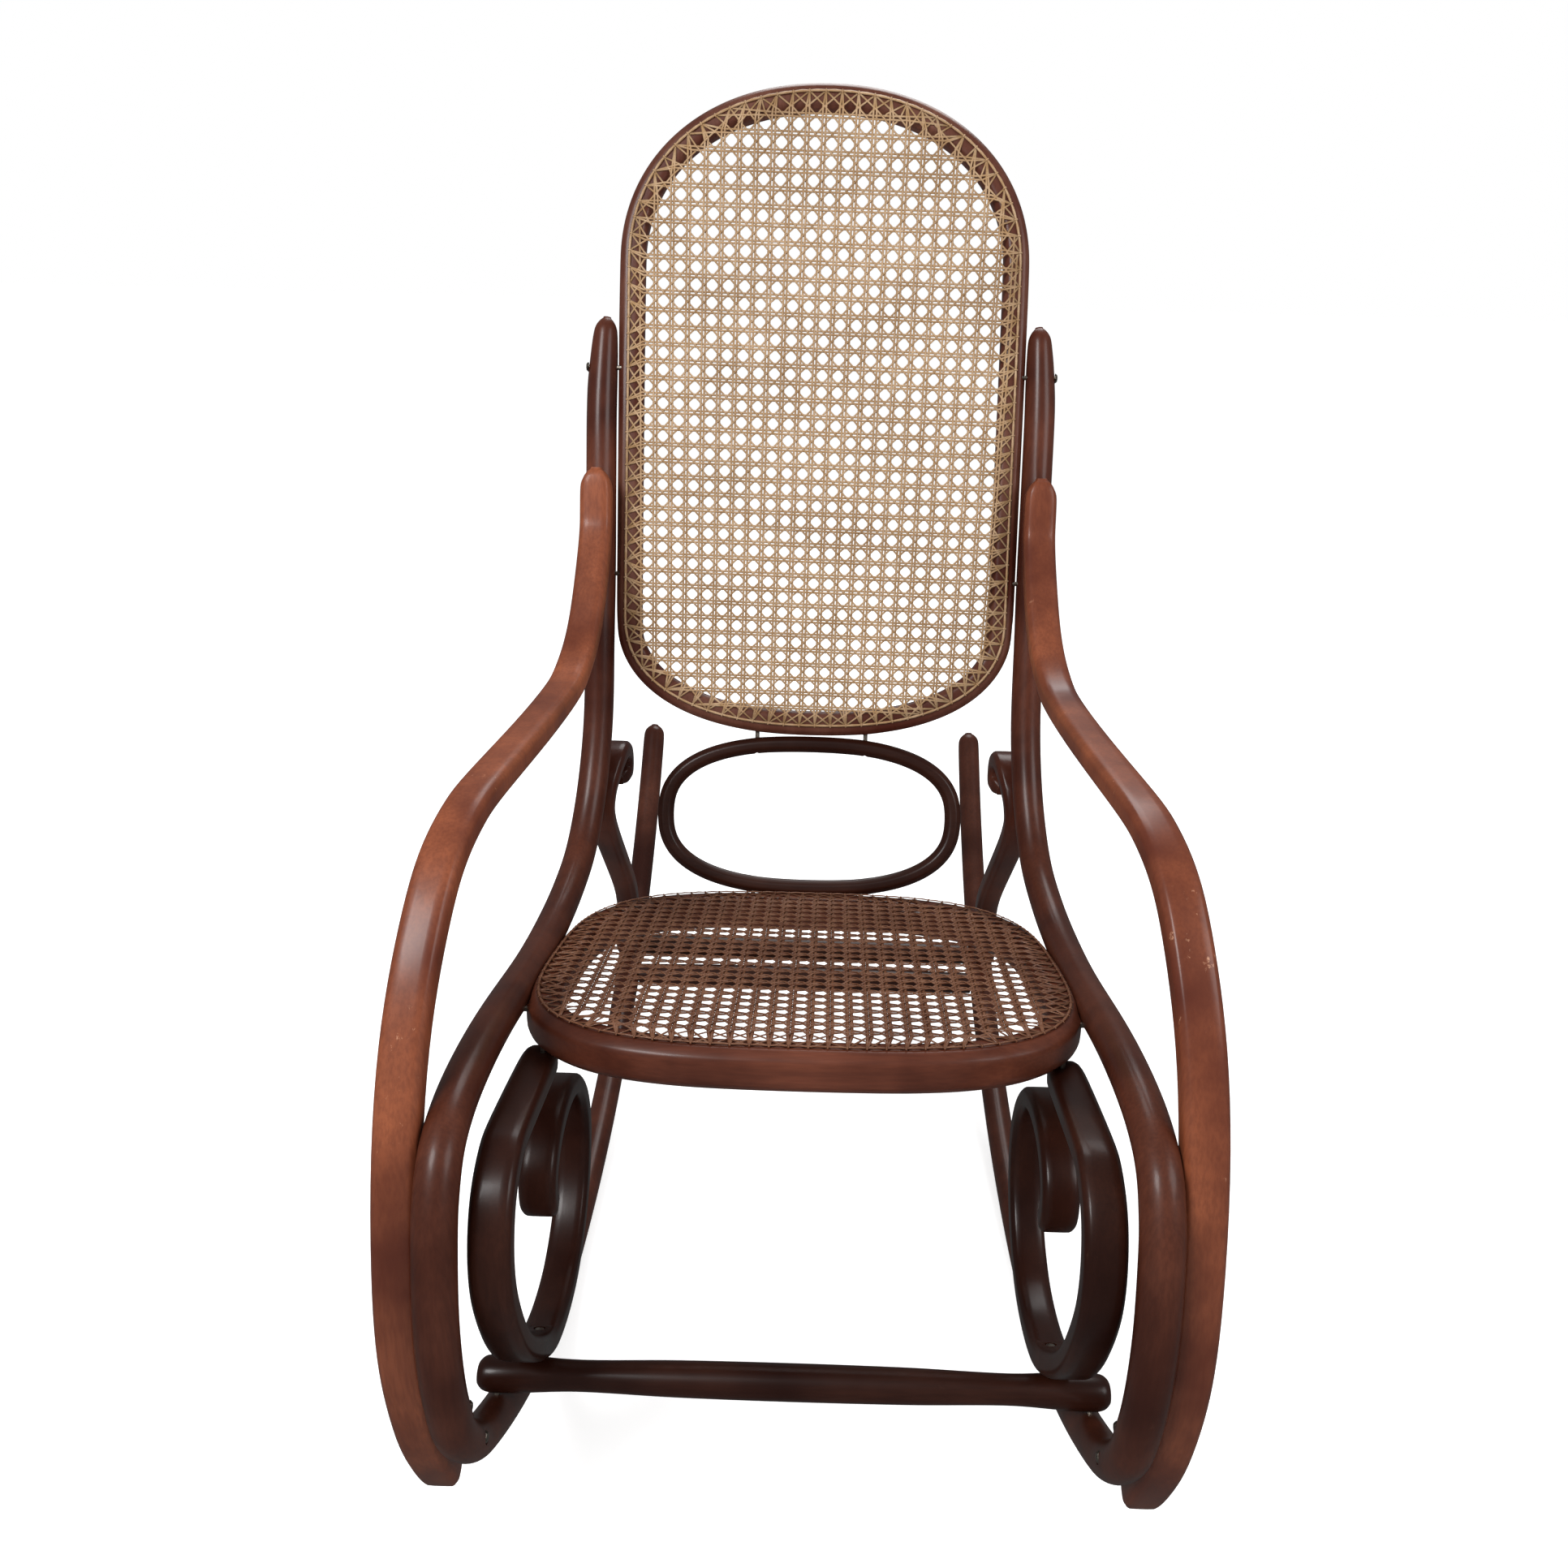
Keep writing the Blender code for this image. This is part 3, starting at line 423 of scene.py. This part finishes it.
def mix(group, factor, first, second, kind="MIX"):
    node = group.nodes.new("ShaderNodeMix")
    node.data_type = "RGBA"
    node.blend_type = kind
    for label, value in ((0, factor), (6, first), (7, second)):
        if isinstance(value, bpy.types.NodeSocket):
            group.links.new(value, node.inputs[label])
        elif label == 0:
            node.inputs[0].default_value = value
        else:
            node.inputs[label].default_value = (*value[:3], 1.0)
    return node.outputs[2]


def wood_group():
    """Stained beech: fine streaks along the grain, blotches of stain, and rubbed pale spots."""
    group, inp, out = new_group(
        "stained_beech",
        [("Vector", "Vector", (0, 0, 0)), ("Dark", "Color", (0.05, 0.015, 0.01, 1)),
         ("Light", "Color", (0.2, 0.07, 0.03, 1)), ("Worn", "Color", (0.4, 0.2, 0.1, 1)),
         ("Wear", "Float", 0.2)],
        [("Colour", "Color"), ("Roughness", "Float"), ("Height", "Float")])
    vector = inp.outputs["Vector"]
    streak = noise(group, vector, 1.0, 4.0, 0.6, (420.0, 420.0, 26.0))
    band = noise(group, vector, 1.0, 3.0, 0.5, (70.0, 70.0, 6.0))
    blotch = noise(group, vector, 9.0, 3.0, 0.55)
    base = mix(group, ramp(group, blotch, 0.32, 0.68), inp.outputs["Dark"], inp.outputs["Light"])
    streaked = mix(group, ramp(group, band, 0.35, 0.7, 0.0, 0.35), base, inp.outputs["Dark"])
    fine = mix(group, ramp(group, streak, 0.40, 0.62, 0.0, 0.30), streaked, inp.outputs["Dark"])
    flecks = ramp(group, noise(group, vector, 1.0, 5.0, 0.7, (160.0, 160.0, 60.0)), 0.64, 0.70)
    patch = ramp(group, noise(group, vector, 14.0, 2.0, 0.5), 0.55, 0.66)
    gate = group.nodes.new("ShaderNodeMath")
    gate.operation = "MULTIPLY"
    group.links.new(flecks, gate.inputs[0])
    group.links.new(patch, gate.inputs[1])
    worn = group.nodes.new("ShaderNodeMath")
    worn.operation = "MULTIPLY"
    group.links.new(gate.outputs[0], worn.inputs[0])
    group.links.new(inp.outputs["Wear"], worn.inputs[1])
    group.links.new(mix(group, worn.outputs[0], fine, inp.outputs["Worn"]), out.inputs["Colour"])
    group.links.new(ramp(group, blotch, 0.3, 0.7, 0.27, 0.44), out.inputs["Roughness"])
    group.links.new(streak, out.inputs["Height"])
    return group


def cane_group():
    """Split cane: pale and dark lengths, broad ageing and a faint fibre. Built once, for both panels."""
    if "split_cane" in bpy.data.node_groups:
        return bpy.data.node_groups["split_cane"]
    group, inp, out = new_group(
        "split_cane",
        [("Vector", "Vector", (0, 0, 0)), ("Dark", "Color", (0.2, 0.1, 0.05, 1)),
         ("Mid", "Color", (0.4, 0.25, 0.12, 1)), ("Pale", "Color", (0.6, 0.45, 0.28, 1))],
        [("Colour", "Color"), ("Roughness", "Float"), ("Height", "Float")])
    vector = inp.outputs["Vector"]
    lengths = noise(group, vector, 120.0, 2.0, 0.5)
    broad = noise(group, vector, 11.0, 3.0, 0.6)
    fibre = noise(group, vector, 900.0, 2.0, 0.6)
    base = mix(group, ramp(group, lengths, 0.36, 0.66), inp.outputs["Mid"], inp.outputs["Pale"])
    aged = mix(group, ramp(group, broad, 0.42, 0.75, 0.0, 0.55), base, inp.outputs["Dark"])
    grained = mix(group, ramp(group, fibre, 0.45, 0.70, 0.0, 0.25), aged, inp.outputs["Dark"])
    group.links.new(grained, out.inputs["Colour"])
    group.links.new(ramp(group, lengths, 0.3, 0.7, 0.30, 0.48), out.inputs["Roughness"])
    group.links.new(fibre, out.inputs["Height"])
    return group


def material(name, group, colours, values=(), grain=None, bump=0.08, coat=0.0, distance=0.0004, painted_light_by_height=None):
    """Principled material fed by one of the groups, on Object coordinates turned along the grain; it can
    also paint light and shade by height.
    """
    mat = bpy.data.materials.new(name)
    mat.use_nodes = True
    nodes, links = mat.node_tree.nodes, mat.node_tree.links
    shader = nodes["Principled BSDF"]
    coords = nodes.new("ShaderNodeTexCoord")
    mapping = nodes.new("ShaderNodeMapping")
    mapping.inputs["Rotation"].default_value = grain or (0.0, 0.0, 0.0)
    links.new(coords.outputs["Object"], mapping.inputs["Vector"])
    node = nodes.new("ShaderNodeGroup")
    node.node_tree = group
    links.new(mapping.outputs["Vector"], node.inputs["Vector"])
    for label, colour in colours.items():
        node.inputs[label].default_value = (*colour[:3], 1.0)
    for label, value in values:
        node.inputs[label].default_value = value
    colour = node.outputs["Colour"]
    # Painted light and shade: up to 1.75 times paler between the two heights given, so low wood looks shaded
    # and high wood lit.
    if painted_light_by_height:
        split = nodes.new("ShaderNodeSeparateXYZ")
        links.new(coords.outputs["Object"], split.inputs[0])
        share = ramp(mat.node_tree, split.outputs["Z"], *painted_light_by_height)
        painted_lit_colour = mix(mat.node_tree, 1.0, colour, (1.75, 1.75, 1.75), "MULTIPLY")
        colour = mix(mat.node_tree, share, colour, painted_lit_colour)
    links.new(colour, shader.inputs["Base Color"])
    links.new(node.outputs["Roughness"], shader.inputs["Roughness"])
    shader.inputs["Specular IOR Level"].default_value = 0.27
    shader.inputs["Coat Weight"].default_value = coat
    shader.inputs["Coat Roughness"].default_value = 0.18
    height = nodes.new("ShaderNodeBump")
    height.inputs["Strength"].default_value = bump
    height.inputs["Distance"].default_value = distance
    links.new(node.outputs["Height"], height.inputs["Height"])
    links.new(height.outputs["Normal"], shader.inputs["Normal"])
    return mat


def steel_material():
    mat = bpy.data.materials.new("dull_steel")
    mat.use_nodes = True
    nodes, links = mat.node_tree.nodes, mat.node_tree.links
    shader = nodes["Principled BSDF"]
    coords = nodes.new("ShaderNodeTexCoord")
    tex = nodes.new("ShaderNodeTexNoise")
    tex.inputs["Scale"].default_value = 700.0
    links.new(coords.outputs["Object"], tex.inputs["Vector"])
    links.new(ramp(mat.node_tree, tex.outputs["Fac"], 0.3, 0.7, 0.25, 0.55), shader.inputs["Roughness"])
    tint = mix(mat.node_tree, tex.outputs["Fac"], (0.16, 0.13, 0.10), (0.42, 0.38, 0.33))
    links.new(tint, shader.inputs["Base Color"])
    shader.inputs["Metallic"].default_value = 1.0
    return mat


def scaled(colour, factor):
    return tuple(factor * c for c in colour)


class RockerWood(bpy.types.PropertyGroup):
    dark: bpy.props.FloatVectorProperty(
        name="Dark stain", description="Deepest colour of the stained wood", subtype="COLOR", size=3,
        default=(0.030, 0.007, 0.004))
    light: bpy.props.FloatVectorProperty(
        name="Light stain", description="Lightest colour of the stained wood", subtype="COLOR", size=3,
        default=(0.100, 0.027, 0.013))
    # Painted light: the arm colour is a paler copy of the stain for the arms' lit faces.
    arm: bpy.props.FloatVectorProperty(
        name="Arm stain", description="Light colour of the rubbed arms", subtype="COLOR", size=3,
        default=(0.205, 0.058, 0.024))
    hoop: bpy.props.FloatVectorProperty(
        name="Hoop stain", description="Light colour of the back hoop", subtype="COLOR", size=3,
        default=(0.200, 0.080, 0.050))


class RockerCane(bpy.types.PropertyGroup):
    back_pitch: bpy.props.FloatVectorProperty(
        name="Back pitch", description="Spacing of the back's holes, across and up", size=2,
        default=(0.01547, 0.0158), min=0.008, unit="LENGTH", precision=5)
    seat_pitch: bpy.props.FloatVectorProperty(
        name="Seat pitch", description="Spacing of the seat's holes, across and deep", size=2,
        default=(0.0148, 0.0134), min=0.008, unit="LENGTH", precision=5)
    strand_width: bpy.props.FloatProperty(
        name="Strand width", description="Width of a strand", default=0.0021, min=0.0005, unit="LENGTH")
    diagonal_width: bpy.props.FloatProperty(
        name="Diagonal width", description="Width of a diagonal strand", default=0.0018, min=0.0005,
        unit="LENGTH")
    seat_fullness: bpy.props.FloatProperty(
        name="Seat fullness", description="Width of the seat's strands against the back's", default=1.32,
        min=0.5)
    strand_thickness: bpy.props.FloatProperty(
        name="Strand thickness", description="Thickness of a strand", default=0.0008, min=0.0002,
        unit="LENGTH")
    binder_width: bpy.props.FloatProperty(
        name="Binder width", description="Width of the binding cane", default=0.0027, min=0.001,
        unit="LENGTH")
    binder_thickness: bpy.props.FloatProperty(
        name="Binder thickness", description="Thickness of the binding cane", default=0.0014, min=0.0005,
        unit="LENGTH")
    lift: bpy.props.FloatProperty(
        name="Lift", description="Height of the weave over the wood's face", default=0.0008, unit="LENGTH")
    back: bpy.props.FloatVectorProperty(
        name="Back cane", description="Pale colour of the back's cane", subtype="COLOR", size=3,
        default=(0.610, 0.415, 0.250))
    seat: bpy.props.FloatVectorProperty(
        name="Seat cane", description="Pale colour of the seat's cane", subtype="COLOR", size=3,
        default=(0.250, 0.112, 0.060))


class ROCKER_OT_back_cane(bpy.types.Operator):
    """Weave the back's cane panel, with its binder"""

    bl_idname = "rocker.back_cane"
    bl_label = "Weave the back"

    def execute(self, context):
        cane = context.scene.rocker_cane
        pale = tuple(cane.back)
        mid = tuple(c * f for c, f in zip(pale, (0.78, 0.70, 0.58)))
        dark = tuple(c * f for c, f in zip(pale, (0.42, 0.33, 0.24)))
        mat = material("back_cane_straw", cane_group(), {"Dark": dark, "Mid": mid, "Pale": pale}, coat=0.15,
                       distance=0.0001)
        weave = Weave(back_edge, tuple(cane.back_pitch), GRID_TURN, RIM_WIDTH["back"], BACK_WIDENING, 7)
        made = weave_panel("back_weave", weave, cane, back_frame_axes(), mat)
        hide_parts("back_cane")
        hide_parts("back_cane_binding")
        return {"FINISHED"}


class ROCKER_OT_seat_cane(bpy.types.Operator):
    """Weave the seat's cane panel, with its binder"""

    bl_idname = "rocker.seat_cane"
    bl_label = "Weave the seat"

    def execute(self, context):
        cane = context.scene.rocker_cane
        pale = tuple(cane.seat)
        mid = tuple(c * f for c, f in zip(pale, (0.66, 0.56, 0.50)))
        dark = tuple(c * f for c, f in zip(pale, (0.30, 0.20, 0.16)))
        mat = material("seat_cane_brown", cane_group(), {"Dark": dark, "Mid": mid, "Pale": pale}, coat=0.25,
                       distance=0.0001)
        weave = Weave(seat_edge, tuple(cane.seat_pitch), GRID_TURN, RIM_WIDTH["seat"], SEAT_WIDENING, 11)
        made = weave_panel("seat_weave", weave, cane, seat_frame_axes(), mat, cane.seat_fullness)
        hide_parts("seat_cane")
        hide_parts("seat_cane_binding")
        return {"FINISHED"}


class ROCKER_OT_wood(bpy.types.Operator):
    """Round and stain every wooden piece, paint light and shade into some of the stains, and dull the screws
    """

    bl_idname = "rocker.wood"
    bl_label = "Finish the wood"

    def execute(self, context):
        wood = context.scene.rocker_wood
        group = wood_group()
        dark = tuple(wood.dark)
        worn = (0.42, 0.20, 0.11)
        plain = {"Dark": dark, "Light": tuple(wood.light), "Worn": worn}
        # The arms: a paler copy of the stain, which is painted light, and more rubbed flecks, which are
        # wear.
        arm = {"Dark": scaled(dark, 2.0), "Light": tuple(wood.arm), "Worn": (0.55, 0.30, 0.18)}
        hoop = {"Dark": scaled(dark, 2.6), "Light": tuple(wood.hoop), "Worn": (0.45, 0.28, 0.20)}
        across = (0.0, math.radians(90.0), 0.0)
        light = tuple(wood.light)
        # Painted shade: a darker copy of the stain for the seat scrolls, rear rails, front stretcher and
        # lumbar ring.
        painted_shade = {"Dark": scaled(dark, 0.55), "Light": scaled(light, 0.5), "Worn": worn}
        # Painted light: a paler copy of the stain for the seat frame, whose front is lit more.
        rim = {"Dark": scaled(dark, 1.5), "Light": scaled(light, 1.7), "Worn": worn}
        # The plain wood and the arms are painted paler higher up: painted light and shade by height.
        mats = {
            "along": material("wood_along", group, plain, [("Wear", 0.10)], coat=0.15, painted_light_by_height=(0.25, 0.65)),
            "painted_shade": material("wood_painted_shade", group, painted_shade, [("Wear", 0.06)], coat=0.15),
            "rail": material("wood_rail_painted_shade", group, painted_shade, [("Wear", 0.06)], across, coat=0.15),
            "rim": material("wood_rim_painted_light", group, rim, [("Wear", 0.25)], across, coat=0.15),
            "arm": material("wood_arm_painted_light", group, arm, [("Wear", 0.55)], coat=0.15, painted_light_by_height=(0.13, 0.48)),
            "hoop": material("wood_hoop", group, hoop, [("Wear", 0.15)], coat=0.10),
        }
        steel = steel_material()
        for name, node in frame["nodes"].items():
            kind = "along"
            if name.startswith("arm") and "screw" not in name:
                kind = "arm"
            elif name == "back_frame":
                kind = "hoop"
            elif name == "seat_frame":
                kind = "rim"
            elif name in ("front_stretcher", "lumbar_ring") or name.startswith("rear_rail"):
                kind = "rail"
            elif name.startswith("seat_scroll"):
                kind = "painted_shade"
            chosen = steel if "screw" in name else mats[kind]
            for item in node.material_slots:
                item.material = chosen
            if "screw" not in name and "cane" not in name:
                refine(node, name, chosen)
        return {"FINISHED"}


def refine(node, name, mat):
    """Smooth copy of a wooden node, its chamfers kept fairly crisp, shown in its place."""
    copy = bpy.data.objects.new(name + "_finished", node.data.copy())
    bpy.context.scene.collection.objects.link(copy)
    copy.data.materials.clear()
    copy.data.materials.append(mat)
    select_only(copy)
    bpy.ops.object.mode_set(mode="EDIT")
    bpy.ops.mesh.select_all(action="SELECT")
    bpy.ops.mesh.remove_doubles(threshold=0.00002)
    bpy.ops.mesh.tris_convert_to_quads(face_threshold=math.radians(12), shape_threshold=math.radians(50))
    bpy.ops.object.mode_set(mode="OBJECT")
    crease_edges(copy.data)
    mod = copy.modifiers.new("rounding", "SUBSURF")
    mod.levels = mod.render_levels = 2
    bpy.ops.object.modifier_apply(modifier=mod.name)
    bpy.ops.object.shade_smooth_by_angle(angle=math.radians(40.0))
    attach(copy, "root")
    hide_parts(name)


def crease_edges(mesh):
    """Hold the sharp edges, such as a hole's mouth, and half hold the chamfers'."""
    bm = bmesh.new()
    bm.from_mesh(mesh)
    layer = bm.edges.layers.float.new("crease_edge")
    for edge in bm.edges:
        angle = edge.calc_face_angle(0.0)
        if angle > math.radians(55.0):
            edge[layer] = 1.0
        elif angle > math.radians(38.0):
            edge[layer] = 0.45
    bm.to_mesh(mesh)
    bm.free()


class ROCKER_OT_stage(bpy.types.Operator):
    """White sweep, soft lamps and the camera"""

    bl_idname = "rocker.stage"
    bl_label = "Set the studio"

    def execute(self, context):
        scene = context.scene
        select_none()
        bpy.ops.mesh.primitive_plane_add(size=FLOOR_SIZE, location=(0.0, 0.0, 0.0))
        floor = context.object
        floor.name = "studio_floor"
        mat = bpy.data.materials.new("studio_white")
        mat.use_nodes = True
        shader = mat.node_tree.nodes["Principled BSDF"]
        shader.inputs["Base Color"].default_value = (0.93, 0.93, 0.93, 1.0)
        shader.inputs["Roughness"].default_value = 0.9
        shader.inputs["Specular IOR Level"].default_value = 0.0
        shader.inputs["Emission Color"].default_value = (1.0, 1.0, 1.0, 1.0)
        nodes, links = mat.node_tree.nodes, mat.node_tree.links
        seen = nodes.new("ShaderNodeLightPath")
        links.new(ramp(mat.node_tree, seen.outputs["Is Camera Ray"], 0.0, 1.0, 0.0, 0.57),
                  shader.inputs["Emission Strength"])
        dim = nodes.new("ShaderNodeEmission")
        dim.inputs["Strength"].default_value = 0.10
        blend = nodes.new("ShaderNodeMixShader")
        links.new(seen.outputs["Is Glossy Ray"], blend.inputs[0])
        links.new(shader.outputs[0], blend.inputs[1])
        links.new(dim.outputs[0], blend.inputs[2])
        links.new(blend.outputs[0], nodes["Material Output"].inputs["Surface"])
        floor.data.materials.append(mat)
        world = scene.world or bpy.data.worlds.new("studio")
        scene.world = world
        world.use_nodes = True
        background = world.node_tree.nodes["Background"]
        background.inputs["Color"].default_value = (1.0, 1.0, 1.0, 1.0)
        seen = world.node_tree.nodes.new("ShaderNodeLightPath")
        dim = ramp(world.node_tree, seen.outputs["Is Glossy Ray"], 0.0, 1.0, 0.50, 0.14)
        share = world.node_tree.nodes.new("ShaderNodeMath")
        share.operation = "MAXIMUM"
        world.node_tree.links.new(dim, share.inputs[0])
        world.node_tree.links.new(seen.outputs["Is Camera Ray"], share.inputs[1])
        world.node_tree.links.new(share.outputs[0], background.inputs["Strength"])
        scene.view_settings.view_transform = "Standard"
        for name, place, size, energy in LAMPS:
            lamp = bpy.data.lights.new(name, "AREA")
            lamp.size = size
            lamp.energy = energy
            obj = bpy.data.objects.new(name, lamp)
            obj.location = place
            aim = Vector(LAMP_AIM) - Vector(place)
            obj.rotation_mode = "QUATERNION"
            obj.rotation_quaternion = aim.to_track_quat("-Z", "Y")
            scene.collection.objects.link(obj)
        add_camera(scene)
        return {"FINISHED"}


def add_camera(scene):
    """Camera standing in front and above, looking down at the chair."""
    data = bpy.data.cameras.new("camera")
    data.lens = CAMERA_LENS
    data.sensor_width = 36.0
    data.shift_x = CAMERA_SHIFT
    cam = bpy.data.objects.new("camera", data)
    pitch, roll, yaw = CAMERA_TURN
    look = Vector((0.0, math.cos(pitch), -math.sin(pitch)))
    right = Vector((1.0, 0.0, 0.0))
    down = look.cross(right)
    turned_right = right * math.cos(yaw) - look * math.sin(yaw)
    look = right * math.sin(yaw) + look * math.cos(yaw)
    right = turned_right
    rolled_right = right * math.cos(roll) - down * math.sin(roll)
    down = right * math.sin(roll) + down * math.cos(roll)
    basis = Matrix((rolled_right, -down, -look)).transposed().to_4x4()
    basis.translation = Vector(CAMERA_PLACE) + Vector((0.0, FRAME_SHIFT, 0.0))
    cam.matrix_world = basis
    scene.collection.objects.link(cam)
    scene.camera = cam


class ROCKER_PT_panel(bpy.types.Panel):
    bl_label = "Bentwood rocker"
    bl_idname = "ROCKER_PT_panel"
    bl_space_type = "VIEW_3D"
    bl_region_type = "UI"
    bl_category = "Rocker"

    def draw(self, context):
        layout = self.layout
        for group in (context.scene.rocker_wood, context.scene.rocker_cane):
            for key in group.__annotations__:
                layout.prop(group, key)
        for name in STEPS:
            layout.operator("rocker." + name)


STEPS = ("wood", "back_cane", "seat_cane", "stage")
CLASSES = (RockerWood, RockerCane, ROCKER_OT_wood, ROCKER_OT_back_cane, ROCKER_OT_seat_cane, ROCKER_OT_stage,
           ROCKER_PT_panel)


def register():
    for item in CLASSES:
        bpy.utils.register_class(item)
    bpy.types.Scene.rocker_wood = bpy.props.PointerProperty(type=RockerWood)
    bpy.types.Scene.rocker_cane = bpy.props.PointerProperty(type=RockerCane)


def unregister():
    del bpy.types.Scene.rocker_cane
    del bpy.types.Scene.rocker_wood
    for item in reversed(CLASSES):
        bpy.utils.unregister_class(item)


def main():
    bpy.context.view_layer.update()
    register()
    for name in STEPS:
        getattr(bpy.ops.rocker, name)()


if __name__ == "__main__":
    main()
